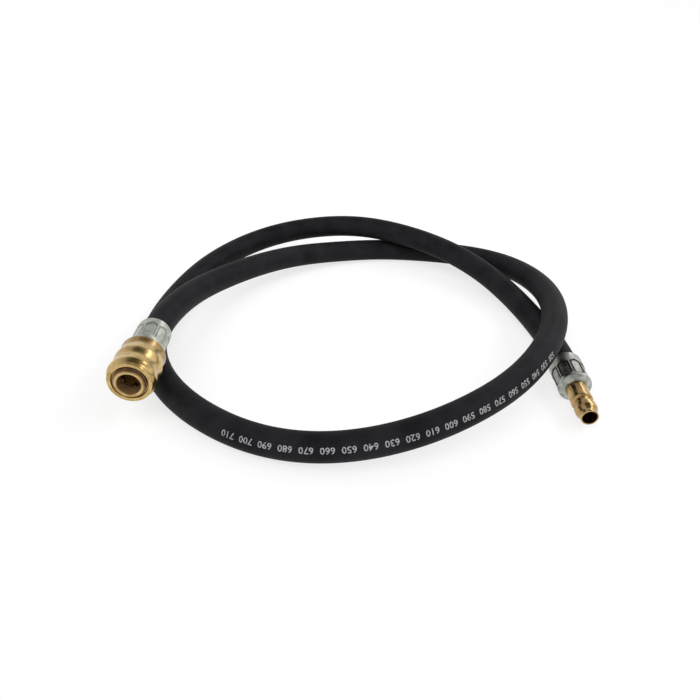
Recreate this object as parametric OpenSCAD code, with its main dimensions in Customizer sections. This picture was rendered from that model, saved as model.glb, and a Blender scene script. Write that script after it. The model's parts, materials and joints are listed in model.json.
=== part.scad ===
// Compressed-gas hose with a quick coupling on one end and its mating plug on the other.
// The hose lies loosely crossed over itself; both end fittings point along -Y.
// Frame: +Z up, the floor at z = 0, the origin under the middle of the two fittings.

/* [Hose] */
// Outside diameter of the hose
hose_od = 16; // [14:0.5:17]
// Bore of the hose
hose_id = 9; // [7:0.5:10]

/* [Layout] */
// Place of the coupling's axis, across
socket_x = -120; // [-124:1:-116]
// Height of the coupling's axis
socket_z = 28; // [27:0.5:32]
// Place of the coupling's mouth
socket_mouth_y = -31; // [-36:1:-28]

/* [Plug] */
// Diameter of the locking collar and the shank
probe_d = 12.2; // [11:0.1:13]
// Diameter of the nose at the tip
nose_d = 9.8; // [9:0.1:10.4]
// Bore of the nose
nose_bore_d = 8.2; // [7.4:0.1:8.4]
// Straight length of the nose
nose_len = 2.8; // [2:0.1:3.5]
// Tip to the front edge of the collar
collar_at = 6; // [5.5:0.1:6.5]
// Length of the collar
collar_len = 3.4; // [2.6:0.1:3.8]
// Diameter of the locking groove
groove_d = 9.8; // [9.6:0.1:10.6]
// Width of the locking groove at its floor
groove_len = 2.8; // [2.2:0.1:3.2]
// Slope of the groove's flanks, along the axis
groove_flank = 1; // [0.8:0.1:1.4]
// Tip to the front edge of the ferrule, behind its cone
plug_len = 28; // [27:0.5:30]

/* [Coupling body] */
// Gap all round between the mouth and the collar that it guides
mouth_play = 0.1; // [0.05:0.01:0.2]
// Gap all round the collar behind the mouth
bore_play = 0.3; // [0.25:0.05:0.5]
// Wall of the barrel
barrel_wall = 1.8; // [1.7:0.1:2.6]
// Chamfer at the mouth
mouth_chamfer = 0.2; // [0.1:0.1:0.5]
// Mouth to the valve seat
seat_at = 22; // [21.8:0.1:22.4]
// Wall of the barrel round the valve
valve_wall = 1.2; // [1:0.1:1.5]
// Mouth to the collar that guides the sleeve
guide_at = 21; // [20.6:0.1:21.6]
// Mouth to the hexagon
hex_at = 26.6; // [26:0.1:27]
// Hexagon across its flats
hex_af = 17; // [16.8:0.1:17.6]
// Length of the hexagon
hex_len = 4; // [3.8:0.1:4.4]

/* [Snap ring] */
// Wire of the snap ring
ring_wire = 1.1; // [0.9:0.1:1.2]
// Mouth to the middle of the snap ring
ring_at = 2.6; // [2.4:0.1:2.7]

/* [Locking balls] */
// Diameter of a locking ball
ball_d = 3.5; // [3.3:0.1:3.6]
// Mouth to the plane of the balls
ball_at = 9; // [8.9:0.1:9.2]
// Hole that keeps a ball from falling into the bore
ball_lip_d = 3.1; // [2.9:0.1:3.2]
// Thickness of the lip round that hole
ball_lip = 0.15; // [0.1:0.05:0.3]
// How far a ball moves outward
ball_lift = 0.7; // [0.6:0.05:0.8]

/* [Release sleeve] */
// Largest diameter of the sleeve
sleeve_od = 26; // [25.6:0.2:27.4]
// Diameter of the front rim
rim_d = 23.5; // [23:0.1:24.5]
// Diameter of the sleeve's rear edge
tail_rim_d = 24.4; // [23.6:0.1:24.6]
// Depth of the valleys between the grip ridges
ridge_depth = 1; // [0.4:0.1:1.4]
// Depth of the rear ridge's crest below the front one's
rear_ridge_drop = 0.2; // [0:0.1:0.6]
// Mouth to the crest of the front ridge
front_ridge_at = 6; // [5.5:0.1:7]
// Mouth to the valley between the ridges
valley_at = 12.3; // [11.3:0.1:13.3]
// Mouth to the crest of the rear ridge
rear_ridge_at = 17; // [16:0.1:18]
// Mouth to the waist behind the rear ridge
waist_at = 23.5; // [22.5:0.1:24.5]
// Depth of that waist below the rear edge
waist_depth = 0.4; // [0:0.1:0.6]
// Diameter of the recess behind the front rim
recess_d = 19; // [18.8:0.1:20.4]
// Mouth to the front rim
rim_at = 1.5; // [1:0.1:1.8]
// Mouth to the sleeve's rear edge
sleeve_end = 28.4; // [28:0.1:28.6]
// How far the sleeve draws back
sleeve_travel = 3; // [2.8:0.1:3.1]
// Thickness of the flange behind the snap ring
flange_len = 0.9; // [0.7:0.05:1]
// Mouth to the shoulder that the spring pushes on
shoulder_at = 12.4; // [12.2:0.1:12.8]

/* [Coupling tail] */
// How deep the tail screws into the body
spigot_len = 3; // [2.8:0.1:3.1]
// Width of the gasket under the tail's shoulder, from its bore to its edge
gasket_w = 0.75; // [0.6:0.05:0.9]
// Thickness of the tail's shoulder
tail_shoulder_t = 0.5; // [0.4:0.1:0.8]
// Thickness of the gasket under the shoulder
gasket_t = 0.4; // [0.3:0.05:0.6]
// Thickness of the spring's washer
washer_t = 0.8; // [0.6:0.1:1]

/* [Valve] */
// How far the valve opens
valve_travel = 2.4; // [2:0.1:2.4]
// Diameter of the valve's nose
valve_nose_d = 8.6; // [8.4:0.1:9]
// Bore of the valve's nose
valve_nose_bore_d = 6.4; // [6:0.1:6.8]
// Diameter of the sealing head
valve_head_d = 12.8; // [12.4:0.1:13]
// Thickness of the sealing head
valve_head_t = 1; // [0.8:0.1:1]
// Length of the guide skirt
valve_skirt_len = 1.2; // [1:0.1:1.3]
// Thickness of the valve's seal
valve_seal_t = 0.8; // [0.6:0.1:0.9]

/* [Springs] */
// Wire of the sleeve's spring
sleeve_wire = 1; // [0.8:0.1:1.1]
// Turns of the sleeve's spring
sleeve_turns = 3; // [2:1:3]
// Wire of the valve's spring
valve_wire = 0.7; // [0.5:0.1:0.7]
// Turns of the valve's spring
valve_turns = 3; // [2:1:3]
// Mean diameter of the valve's spring
valve_spring_d = 9.2; // [8.8:0.1:9.6]

/* [Ferrules] */
// Outside diameter of the crimped ferrules
ferrule_od = 19.3; // [18.8:0.1:20.5]
// How far the crimp squeezes the hose, all round
crimp_squeeze = 0.2; // [0:0.05:0.4]
// Thickness of a ferrule's front lip
lip_t = 1.5; // [1.2:0.1:2]
// Length of the coupling's ferrule
socket_ferrule_len = 20.5; // [19.5:0.5:22]
// Length of the plug's ferrule
plug_ferrule_len = 23.5; // [22:0.5:26]
// Rounding of a ferrule's ends
ferrule_round = 1.3; // [0.8:0.1:1.4]
// Crimp marks round a ferrule
crimps = 8; // [7:1:8]
// Width of a crimp mark
crimp_w = 6.7; // [6:0.1:6.9]
// Length of a crimp mark
crimp_len = 14.8; // [13.8:0.2:15.4]
// Width of the line pressed round a crimp mark
crimp_line = 0.8; // [0.6:0.1:1]
// Depth of that line
crimp_depth = 0.6; // [0.3:0.05:0.7]
// Height of the flat pad over that line's floor, at the pad's middle
pad_rise = 0.05; // [0.05:0.05:0.2]
// Bare length between a ferrule's front rounding and its crimp marks
crimp_gap = 0.2; // [0.1:0.1:0.8]
// How far the crimp marks are turned about the axis
crimp_turn = 8; // [0:1:45]
// Length of the cone ahead of the plug's ferrule
cone_len = 1.7; // [1:0.1:2]
// Diameter of that cone's front face
cone_d = 13; // [12.6:0.1:14]

/* [Hose tails] */
// Neck that a ferrule's lip holds
neck_d = 11; // [10.6:0.1:11.4]
// Gap all round between the shank and the hose's bore
shank_play = 0.1; // [0.05:0.05:0.2]
// Height of a barb over the hose's bore
barb_bite = 0.4; // [0.2:0.05:0.6]
// Distance from barb to barb
barb_pitch = 4; // [3.5:0.1:4.5]
// Barbs on the coupling's tail
socket_barbs = 4; // [2:1:4]
// Barbs on the plug's tail
plug_barbs = 5; // [3:1:5]
// Wall of the tails inside the hose
tail_wall = 1.1; // [0.8:0.1:1.4]

/* [Hidden] */
$fn = 96;

BRASS = [0.80, 0.62, 0.30];
ZINC = [0.74, 0.76, 0.75];
STEEL = [0.62, 0.63, 0.65];
RUBBER = [0.10, 0.10, 0.105];

// Clearances
slide_play = 0.08;      // radial, sleeve on barrel and guide collar
guide_play = 0.05;      // radial, valve skirt in its chamber
thread_play = 0.05;     // radial, where one piece screws into another
ball_play = 0.05;       // radial, a ball in its hole and under the sleeve
ball_seat_play = 0.02;  // a ball over its lip
spring_play = 0.02;     // a spring at each of its ends
face_play = 0.05;       // between faces that turn or slide on each other
nose_play = 0.2;        // radial, between the plug's nose and the body

// Radii worked out from the sizes above
bore_r = probe_d / 2 + bore_play;
mouth_r = probe_d / 2 + mouth_play;
barrel_r = bore_r + barrel_wall;
body_len = hex_at + hex_len;
land_r = barrel_r + slide_play;
chamber_r = hex_af / 2 / cos(30) + 0.33;
guide_r = chamber_r - slide_play;
valve_chamber_r = barrel_r - valve_wall;
nose_bore_r = nose_d / 2 + nose_play;
tail_shoulder_r = valve_chamber_r + thread_play + gasket_w;
ferrule_r = ferrule_od / 2;
ferrule_bore_r = hose_od / 2 - crimp_squeeze;

// The plug lies on the floor by its ferrule. The two fittings' box is even about x = 0 and y = 0.
plug_z = ferrule_r;
plug_x = sleeve_od / 2 - socket_x - ferrule_r;
plug_tip_y = -socket_mouth_y - plug_len - plug_ferrule_len;

// The balls, and the cone in the sleeve that lets them out in step with it
ball_r = ball_d / 2;
ball_lip_r = ball_lip_d / 2;
ball_rest_r = bore_r + ball_lip + sqrt(ball_r ^ 2 - ball_lip_r ^ 2) + ball_seat_play;
cone_slope = ball_lift / sleeve_travel;
cone_r = ball_rest_r + ball_r * sqrt(1 + cone_slope ^ 2) + ball_play;
cone_front = ball_at - sleeve_travel - 0.44;
cone_back = ball_at + 1;
cone_step = 0.6;
relief_r = cone_r + cone_slope * (ball_at - cone_front);
flange_at = ring_at + ring_wire / 2 + 0.02;

// A plug that is pushed home: the balls stand over the middle of its groove
groove_middle = collar_at + collar_len + groove_flank + groove_len / 2;
plug_in_at = ball_at + groove_middle;
bore_len = plug_in_at - collar_at;
valve_nose_at = plug_in_at - valve_travel;

// Seal in the body that grips the plug's nose
probe_seal_wire = 1.6;
probe_seal_r = 6.45;
probe_seal_at = bore_len + 1.3;
seal_groove_half = probe_seal_wire / 2 + 0.1;

// The valve, from its nose back
valve_seal_front = seat_at + 0.02;
valve_head_at = valve_seal_front + valve_seal_t;
valve_skirt_at = valve_head_at + valve_head_t;
valve_end = valve_skirt_at + valve_skirt_len;
spring_seat_in_valve = valve_skirt_at + valve_skirt_len / 2;
spigot_at = body_len - spigot_len;
spring_pocket_depth = spigot_len - 0.6;
spring_pocket_r = valve_spring_d / 2 + valve_wire / 2 + 0.4;

// The tails, measured from each fitting's own front
socket_ferrule_at = body_len + gasket_t + tail_shoulder_t;
socket_hose_face = socket_ferrule_at + lip_t;
plug_hose_face = plug_len + lip_t;
socket_ferrule_end = socket_ferrule_at + socket_ferrule_len;
plug_ferrule_end = plug_len + plug_ferrule_len;
shank_r = hose_id / 2 - shank_play;
tail_bore_r = shank_r - tail_wall;
barb_r = hose_id / 2 + barb_bite;

// The hose's guide points. Its centreline is the even cubic B-spline that they steer.
// The first and last three lie on the fittings' axes, so it leaves each ferrule straight.
end_step = 36;
route_start = [socket_x, socket_mouth_y + socket_hose_face, socket_z];
route_end = [plug_x, plug_tip_y + plug_hose_face, plug_z];
route_middle = [
    [-112, 78, 24], [-98, 111, 19], [-77, 141, 16], [-51, 167, 13], [-20, 186, 9],
    [16, 197, 8], [53, 196, 8], [87, 182, 12], [112, 156, 17], [126, 121, 21],
    [127, 84, 25], [119, 48, 27], [103, 15, 27], [81, -14, 25], [52, -36, 21],
    [19, -51, 16], [-17, -56, 11], [-52, -49, 8], [-84, -31, 8], [-110, -5, 8],
    [-127, 28, 8], [-132, 64, 8], [-128, 101, 8], [-118, 136, 11], [-100, 168, 14],
    [-72, 191, 19], [-37, 203, 23], [0, 202, 26], [35, 191, 24], [66, 172, 21],
    [92, 146, 16], [110, 115, 10], [120, 80, 8]
];
hose_guide = concat(
    [for (k = [-1:1]) route_start + [0, k * end_step, 0]],
    route_middle,
    [for (k = [1:-1:-1]) route_end + [0, k * end_step, 0]]
);
hose_sides = 12;
rings_per_span = 2;

function unit(v) = v / norm(v);

// A place on the B-spline, u from 0 to 1 along span i
function spline_at(p, i, u) =
    ((1 - u) ^ 3 * p[i] + (3 * u ^ 3 - 6 * u ^ 2 + 4) * p[i + 1]
     + (-3 * u ^ 3 + 3 * u ^ 2 + 3 * u + 1) * p[i + 2] + u ^ 3 * p[i + 3]) / 6;

// The direction of travel there
function spline_way(p, i, u) = unit(
    -(1 - u) ^ 2 * p[i] + (3 * u ^ 2 - 4 * u) * p[i + 1]
    + (-3 * u ^ 2 + 2 * u + 1) * p[i + 2] + u ^ 2 * p[i + 3]);

// Every place along the whole route, n to a span, as [place, way]
function route(p, n) = let (spans = len(p) - 3) [
    for (i = [0:spans - 1]) for (k = [0:n - 1]) [spline_at(p, i, k / n), spline_way(p, i, k / n)],
    [spline_at(p, spans - 1, 1), spline_way(p, spans - 1, 1)]
];

// One ring of points square to the way, with a flat side below
function ring_points(place, way, r, sides) =
    let (side = unit(cross(way, [0, 0, 1])), up = cross(side, way))
    [for (k = [0:sides - 1]) let (a = 360 * (k + 0.5) / sides)
        place + r * (cos(a) * side + sin(a) * up)];

// Triangles between two rings of a skin; turned = true for the skin of a bore
function skin(first, second, sides, turned) = [
    for (k = [0:sides - 1]) let (n = (k + 1) % sides,
        a = first + k, b = first + n, c = second + n, d = second + k)
    each turned ? [[a, c, b], [a, d, c]] : [[a, b, c], [a, c, d]]
];

// A tube swept along a list of [place, way], with its flats at the two radii
module swept_tube(stations, r_out, r_in, sides) {
    flat = cos(180 / sides);
    n = len(stations);
    outer = [for (s = stations) each ring_points(s[0], s[1], r_out / flat, sides)];
    inner = [for (s = stations) each ring_points(s[0], s[1], r_in / flat, sides)];
    bore = n * sides;
    polyhedron(
        points = concat(outer, inner),
        faces = concat(
            [for (i = [0:n - 2]) each skin(i * sides, (i + 1) * sides, sides, true)],
            [for (i = [0:n - 2]) each skin(bore + i * sides, bore + (i + 1) * sides, sides, false)],
            skin(0, bore, sides, false),
            skin((n - 1) * sides, bore + (n - 1) * sides, sides, true)
        )
    );
}

// A compression spring along +Z as one round wire
module coil_spring(z0, z1, mean_r, wire, turns) {
    steps = 12;
    sides = 6;
    n = turns * steps;
    rise = (z1 - z0 - wire) / n;
    pts = [
        for (i = [0:n]) for (k = [0:sides - 1])
        let (a = 360 * i / steps, b = 360 * (k + 0.5) / sides, r = mean_r + wire / 2 * cos(b))
        [r * cos(a), r * sin(a), z0 + wire / 2 + rise * i + wire / 2 * sin(b)]
    ];
    polyhedron(
        points = pts,
        faces = concat(
            [for (i = [0:n - 1]) each skin(i * sides, (i + 1) * sides, sides, false)],
            [for (k = [1:sides - 2]) [0, k + 1, k]],
            [for (k = [1:sides - 2]) [n * sides, n * sides + k, n * sides + k + 1]]
        )
    );
}

// Outline points that wave smoothly through [r, z] crests and valleys
function wave(knots, n) = [
    for (i = [0:len(knots) - 2]) for (k = [0:n - 1])
    let (t = k / n, s = (1 - cos(180 * t)) / 2)
    [knots[i][0] + s * (knots[i + 1][0] - knots[i][0]), knots[i][1] + t * (knots[i + 1][1] - knots[i][1])],
    knots[len(knots) - 1]
];

// A quarter round from angle a0 to a1 about c
function round_points(c, r, a0, a1, n) = [
    for (k = [0:n]) let (a = a0 + (a1 - a0) * k / n) c + r * [cos(a), sin(a)]
];

// Each fitting is drawn with its axis along +Z from its front, then laid down.
module in_socket() {
    translate([socket_x, socket_mouth_y, socket_z]) rotate([-90, 0, 0]) children();
}

module in_plug() {
    translate([plug_x, plug_tip_y, plug_z]) rotate([-90, 0, 0]) children();
}

// A cylinder between two heights
module rod(z0, z1, r) {
    translate([0, 0, z0]) cylinder(h = z1 - z0, r = r);
}

// A washer or bush between two heights
module bush(z0, z1, r_out, r_in) {
    difference() {
        rod(z0, z1, r_out);
        rod(z0 - 1, z1 + 1, r_in);
    }
}

// The barbed tail that goes into the hose: solid, its bore is cut later
module barbed_tail(neck_at, face_at, barbs) {
    first = face_at + 1.5;
    rotate_extrude() polygon(concat(
        [[0, neck_at], [neck_d / 2, neck_at], [neck_d / 2, face_at], [shank_r, face_at]],
        [for (b = [0:barbs - 1]) each [
            [shank_r, first + b * barb_pitch],
            [barb_r, first + b * barb_pitch + 0.3],
            [shank_r, first + (b + 0.8) * barb_pitch]
        ]],
        [[0, first + barbs * barb_pitch - 0.8]]
    ));
}

function tail_end(face_at, barbs) = face_at + 1.5 + barbs * barb_pitch;

// The long hexagon of a crimp mark, lying along the ferrule
module crimp_outline(length, width, inset) {
    l = length / 2 - inset;
    w = width / 2 - inset;
    polygon([[-l, 0], [-l + w / 2, w], [l - w / 2, w], [l, 0], [l - w / 2, -w], [-l + w / 2, -w]]);
}

// Crimped ferrule from z0 to z1, with its lip at z0 and a cone of some length ahead of that
module ferrule(z0, z1, cone) {
    rr = ferrule_round;
    mark_mid = z0 + rr + crimp_gap + crimp_len / 2;
    difference() {
        rotate_extrude() polygon(concat(
            [[neck_d / 2 + thread_play, z0 - cone]],
            cone > 0 ? [[cone_d / 2, z0 - cone]] : [],
            round_points([ferrule_r - rr, z0 + rr], rr, cone > 0 ? -50 : -90, 0, 6),
            round_points([ferrule_r - rr, z1 - rr], rr, 0, 90, 6),
            [[ferrule_bore_r + 0.3, z1], [ferrule_bore_r, z1 - 0.6], [ferrule_bore_r, z0 + lip_t],
             [neck_d / 2 + thread_play, z0 + lip_t]]
        ));
        for (i = [0:crimps - 1]) rotate([0, 0, crimp_turn + 360 * i / crimps])
            translate([0, 0, mark_mid]) {
                rotate([0, 90, 0]) translate([0, 0, ferrule_r - crimp_depth + pad_rise])
                    linear_extrude(2 * crimp_depth) crimp_outline(crimp_len, crimp_w, crimp_line);
                difference() {
                    rotate([0, 90, 0]) linear_extrude(2 * ferrule_r) difference() {
                        crimp_outline(crimp_len, crimp_w, 0);
                        crimp_outline(crimp_len, crimp_w, crimp_line);
                    }
                    rod(-crimp_len, crimp_len, ferrule_r - crimp_depth);
                }
            }
    }
}

module hose() {
    color(RUBBER) swept_tube(route(hose_guide, rings_per_span), hose_od / 2, hose_id / 2, hose_sides);
}

module socket_ferrule() {
    color(ZINC) in_socket() ferrule(socket_ferrule_at, socket_ferrule_end, 0);
}

// Screwed-in spigot, shoulder and barbed tail in one turned piece
module socket_tail() {
    tip = tail_end(socket_hose_face, socket_barbs);
    color(BRASS) in_socket() difference() {
        union() {
            rod(spigot_at, body_len + gasket_t, valve_chamber_r - thread_play);
            rod(body_len + gasket_t, socket_ferrule_at, tail_shoulder_r);
            barbed_tail(socket_ferrule_at, socket_hose_face, socket_barbs);
        }
        rod(spigot_at - 1, spigot_at + spring_pocket_depth, spring_pocket_r);
        rod(spigot_at, tip + 1, tail_bore_r);
    }
}

module body_gasket() {
    color(RUBBER) in_socket() bush(
        body_len, body_len + gasket_t, tail_shoulder_r, valve_chamber_r + thread_play);
}

// Barrel, guide collar and hexagon in one piece, with the valve's seat inside
module socket_body() {
    ring_half = ring_wire / 2 + 0.03;
    ring_floor = barrel_r - ring_wire / 2;
    mouth_end = ball_at - ball_d / 2 - 0.35;
    seal_floor = probe_seal_r + probe_seal_wire / 2;
    taper_at = probe_seal_at + seal_groove_half;
    taper_r = bore_r - 0.15;
    rim = 0.5;
    hex_r = hex_af / 2 / cos(30);
    color(BRASS) in_socket() difference() {
        union() {
            rotate_extrude() polygon([
                [0, 0], [barrel_r - rim, 0], [barrel_r, rim],
                [barrel_r, ring_at - ring_half], [ring_floor, ring_at - ring_half],
                [ring_floor, ring_at + ring_half], [barrel_r, ring_at + ring_half],
                [barrel_r, guide_at], [guide_r, guide_at], [guide_r, hex_at], [0, hex_at]
            ]);
            intersection() {
                translate([0, 0, hex_at - 1]) cylinder(h = hex_len + 1, r = hex_r, $fn = 6);
                rotate_extrude() polygon([
                    [0, hex_at - 1], [hex_r + 1, hex_at - 1], [hex_r + 1, body_len - 1.2],
                    [hex_r - 0.9, body_len], [0, body_len]
                ]);
            }
        }
        rotate_extrude() polygon([
            [0, -1], [mouth_r + mouth_chamfer, -1], [mouth_r + mouth_chamfer, 0],
            [mouth_r, mouth_chamfer], [mouth_r, mouth_end], [bore_r, mouth_end + 0.05],
            [bore_r, probe_seal_at - seal_groove_half], [seal_floor, probe_seal_at - seal_groove_half],
            [seal_floor, taper_at], [taper_r, taper_at], [nose_bore_r, seat_at - 0.6],
            [nose_bore_r, seat_at], [valve_chamber_r, seat_at], [valve_chamber_r, body_len + 1],
            [0, body_len + 1]
        ]);
        at_balls() {
            rod(0, 2 * barrel_r, ball_lip_r);
            rod(bore_r + ball_lip, 2 * barrel_r, ball_r + ball_play);
        }
    }
}

// Its children, drawn along +Z, once along each ball's way out
module at_balls() {
    for (i = [0:5]) at_ball(i) children();
}

module at_ball(i) {
    translate([0, 0, ball_at]) rotate([0, 0, 30 + 60 * i]) rotate([0, 90, 0]) children();
}

module locking_ball(i) {
    color(STEEL) in_socket() at_ball(i) translate([0, 0, ball_rest_r]) sphere(r = ball_r, $fn = 48);
}

module snap_ring() {
    color(STEEL) in_socket() translate([0, 0, ring_at]) rotate([0, 0, 110])
        rotate_extrude(angle = 340) translate([barrel_r, 0]) circle(r = ring_wire / 2, $fn = 24);
}

module probe_seal() {
    color(RUBBER) in_socket() translate([0, 0, probe_seal_at])
        rotate_extrude() translate([probe_seal_r, 0]) circle(r = probe_seal_wire / 2, $fn = 24);
}

module valve_poppet() {
    flute_r = 1.2;
    flutes = 6;
    slot_w = 3;
    color(BRASS) in_socket() difference() {
        union() {
            rod(valve_nose_at, valve_head_at + 0.2, valve_nose_d / 2);
            rod(valve_head_at, valve_skirt_at, valve_head_d / 2);
            rod(valve_skirt_at, valve_end, valve_chamber_r - guide_play);
        }
        rod(valve_nose_at - 1, valve_head_at, valve_nose_bore_d / 2);
        for (a = [0, 90]) rotate([0, 0, a])
            translate([-valve_nose_d, -slot_w / 2, valve_nose_at - 1])
                cube([2 * valve_nose_d, slot_w, seat_at - valve_nose_at + 0.4]);
        rod(spring_seat_in_valve, valve_end + 1, spring_pocket_r);
        for (i = [0:flutes - 1]) rotate([0, 0, 360 * i / flutes])
            translate([valve_chamber_r, 0, valve_skirt_at]) cylinder(h = valve_skirt_len + 1, r = flute_r);
    }
}

module valve_seal() {
    color(RUBBER) in_socket() bush(
        valve_seal_front, valve_head_at, valve_head_d / 2, valve_nose_d / 2 + face_play);
}

module valve_spring() {
    color(STEEL) in_socket() coil_spring(
        spring_seat_in_valve + spring_play, spigot_at + spring_pocket_depth - spring_play,
        valve_spring_d / 2, valve_wire, valve_turns);
}

// Grip sleeve: a front rim, rounded ridges with valleys between them, and a tapered rear
module release_sleeve() {
    crest = sleeve_od / 2;
    valley = crest - ridge_depth;
    outline = wave([
        [rim_d / 2, rim_at + 1], [rim_d / 2 - 0.1, rim_at + 2], [crest, front_ridge_at],
        [valley, valley_at], [crest - rear_ridge_drop, rear_ridge_at],
        [tail_rim_d / 2 - waist_depth, waist_at], [tail_rim_d / 2, sleeve_end - 0.6]
    ], 6);
    color(BRASS) in_socket() rotate_extrude() polygon(concat(
        [[recess_d / 2 + 0.5, rim_at]],
        round_points([rim_d / 2 - 1, rim_at + 1], 1, -90, 0, 5),
        outline,
        [[tail_rim_d / 2 - 0.5, sleeve_end], [chamber_r, sleeve_end], [chamber_r, shoulder_at],
         [land_r, shoulder_at], [land_r, cone_back + cone_step],
         [cone_r - cone_slope * (cone_back - ball_at), cone_back],
         [relief_r, cone_front], [relief_r, flange_at + flange_len],
         [land_r, flange_at + flange_len], [land_r, flange_at], [recess_d / 2, flange_at],
         [recess_d / 2, rim_at + 0.5]]
    ));
}

module spring_washer() {
    color(STEEL) in_socket() bush(
        guide_at - washer_t, guide_at, chamber_r - 0.15, barrel_r + 0.1);
}

module sleeve_spring() {
    color(STEEL) in_socket() coil_spring(
        shoulder_at + spring_play, guide_at - washer_t - spring_play,
        (barrel_r + chamber_r) / 2, sleeve_wire, sleeve_turns);
}

// Nose, collar, locking groove, shank and barbed tail in one turned piece
module plug_nipple() {
    tip = tail_end(plug_hose_face, plug_barbs);
    collar_end = collar_at + collar_len;
    groove_end = collar_end + 2 * groove_flank + groove_len;
    bore_step = plug_len - 4;
    neck_at = plug_len - cone_len;
    color(BRASS) in_plug() difference() {
        union() {
            rotate_extrude() polygon([
                [0, 0], [nose_d / 2 - 0.3, 0], [nose_d / 2, 0.3], [nose_d / 2, nose_len],
                [probe_d / 2, collar_at], [probe_d / 2, collar_end],
                [groove_d / 2, collar_end + groove_flank],
                [groove_d / 2, collar_end + groove_flank + groove_len],
                [probe_d / 2, groove_end], [probe_d / 2, neck_at], [0, neck_at]
            ]);
            barbed_tail(neck_at, plug_hose_face, plug_barbs);
        }
        rod(-1, bore_step, nose_bore_d / 2);
        rod(bore_step - 1, tip + 1, tail_bore_r);
    }
}

module plug_ferrule() {
    color(ZINC) in_plug() ferrule(plug_len, plug_ferrule_end, cone_len);
}

// The least gap between two stretches of the hose, on fine points along its centreline
fine = [for (s = route(hose_guide, 6)) s[0]];
apart = 14;
least_gap = min([
    for (i = [0:len(fine) - 1]) for (j = [i + apart:1:len(fine) - 1]) norm(fine[i] - fine[j])
]) - hose_od;
length = [for (i = [0:len(fine) - 2]) norm(fine[i + 1] - fine[i])] * [for (i = [0:len(fine) - 2]) 1];
echo(least_gap_mm = least_gap, hose_length_mm = length);

hose();
socket_ferrule();
socket_tail();
body_gasket();
socket_body();
probe_seal();
valve_poppet();
valve_seal();
valve_spring();
locking_ball(0);  // locking_ball_1
locking_ball(1);  // locking_ball_2
locking_ball(2);  // locking_ball_3
locking_ball(3);  // locking_ball_4
locking_ball(4);  // locking_ball_5
locking_ball(5);  // locking_ball_6
snap_ring();
release_sleeve();
sleeve_spring();
spring_washer();
plug_nipple();
plug_ferrule();
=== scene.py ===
"""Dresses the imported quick-connect gas hose.

A smooth rubber hose with a generic print, turned brass fittings and crimped zinc ferrules.
"""
import json
import math

import bmesh
import bpy
import numpy as np
from mathutils import Matrix, Vector


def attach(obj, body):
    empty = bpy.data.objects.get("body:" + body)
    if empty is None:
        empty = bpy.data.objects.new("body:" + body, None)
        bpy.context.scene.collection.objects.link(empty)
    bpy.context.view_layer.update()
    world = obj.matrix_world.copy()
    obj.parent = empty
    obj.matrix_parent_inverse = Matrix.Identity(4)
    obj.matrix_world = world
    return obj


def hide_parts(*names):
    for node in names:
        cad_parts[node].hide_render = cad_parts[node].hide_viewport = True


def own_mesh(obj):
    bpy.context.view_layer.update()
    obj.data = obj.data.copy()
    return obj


MM = 0.001
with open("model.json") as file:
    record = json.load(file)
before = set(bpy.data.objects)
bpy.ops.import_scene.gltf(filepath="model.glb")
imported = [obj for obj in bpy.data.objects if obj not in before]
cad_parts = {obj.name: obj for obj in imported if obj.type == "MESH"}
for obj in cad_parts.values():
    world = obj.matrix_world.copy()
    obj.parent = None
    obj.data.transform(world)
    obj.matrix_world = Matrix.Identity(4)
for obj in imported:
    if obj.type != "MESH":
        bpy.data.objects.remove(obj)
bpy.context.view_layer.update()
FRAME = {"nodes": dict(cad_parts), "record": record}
ROOT = "hose_assembly"

# ---------------------------------------------------------------- sizes

# Millimetres, as in part.scad. A distance along a fitting is measured from its own front.
HOSE_OD = 16.0
SOCKET = (-120.0, -31.0, 28.0)          # place of the coupling's mouth
PLUG = (123.35, -20.5, 9.65)            # place of the plug's tip
SOCKET_FERRULE = (31.5, 52.0)           # front and rear of the coupling's ferrule
PLUG_FERRULE = (28.0, 51.5)             # front and rear of the plug's ferrule
LIP = 1.5                               # thickness of a ferrule's front lip
END_STEP = 36.0                         # between the guide points on a fitting's axis
ROUTE_MIDDLE = [
    (-112, 78, 24), (-98, 111, 19), (-77, 141, 16), (-51, 167, 13), (-20, 186, 9),
    (16, 197, 8), (53, 196, 8), (87, 182, 12), (112, 156, 17), (126, 121, 21),
    (127, 84, 25), (119, 48, 27), (103, 15, 27), (81, -14, 25), (52, -36, 21),
    (19, -51, 16), (-17, -56, 11), (-52, -49, 8), (-84, -31, 8), (-110, -5, 8),
    (-127, 28, 8), (-132, 64, 8), (-128, 101, 8), (-118, 136, 11), (-100, 168, 14),
    (-72, 191, 19), (-37, 203, 23), (0, 202, 26), (35, 191, 24), (66, 172, 21),
    (92, 146, 16), (110, 115, 10), (120, 80, 8),
]

# The balls, and the sleeve's inner radii that follow from them
BALLS, BALL_R, BALL_LIFT = 6, 1.75, 0.7
BALL_LIP, BALL_LIP_R = 0.15, 1.55       # thickness and radius of the lip under a ball
BALL_SEAT_PLAY, BALL_PLAY = 0.02, 0.05
SLEEVE_TRAVEL, VALVE_TRAVEL = 3.0, 2.4
BORE_R, LAND_R = 6.4, 8.28
HEX_AF, HEX_PLAY = 17.0, 0.33
CHAMBER_R = HEX_AF / 2 / math.cos(math.radians(30)) + HEX_PLAY
BALL_REST_R = BORE_R + BALL_LIP + math.sqrt(BALL_R ** 2 - BALL_LIP_R ** 2) + BALL_SEAT_PLAY
CONE_SLOPE = BALL_LIFT / SLEEVE_TRAVEL
CONE_R = BALL_REST_R + BALL_R * math.sqrt(1 + CONE_SLOPE ** 2) + BALL_PLAY
CONE_AHEAD = 3.44                       # from the balls' plane to the cone's front end
RELIEF_R = CONE_R + CONE_SLOPE * CONE_AHEAD

# ---------------------------------------------------------------- camera

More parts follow.
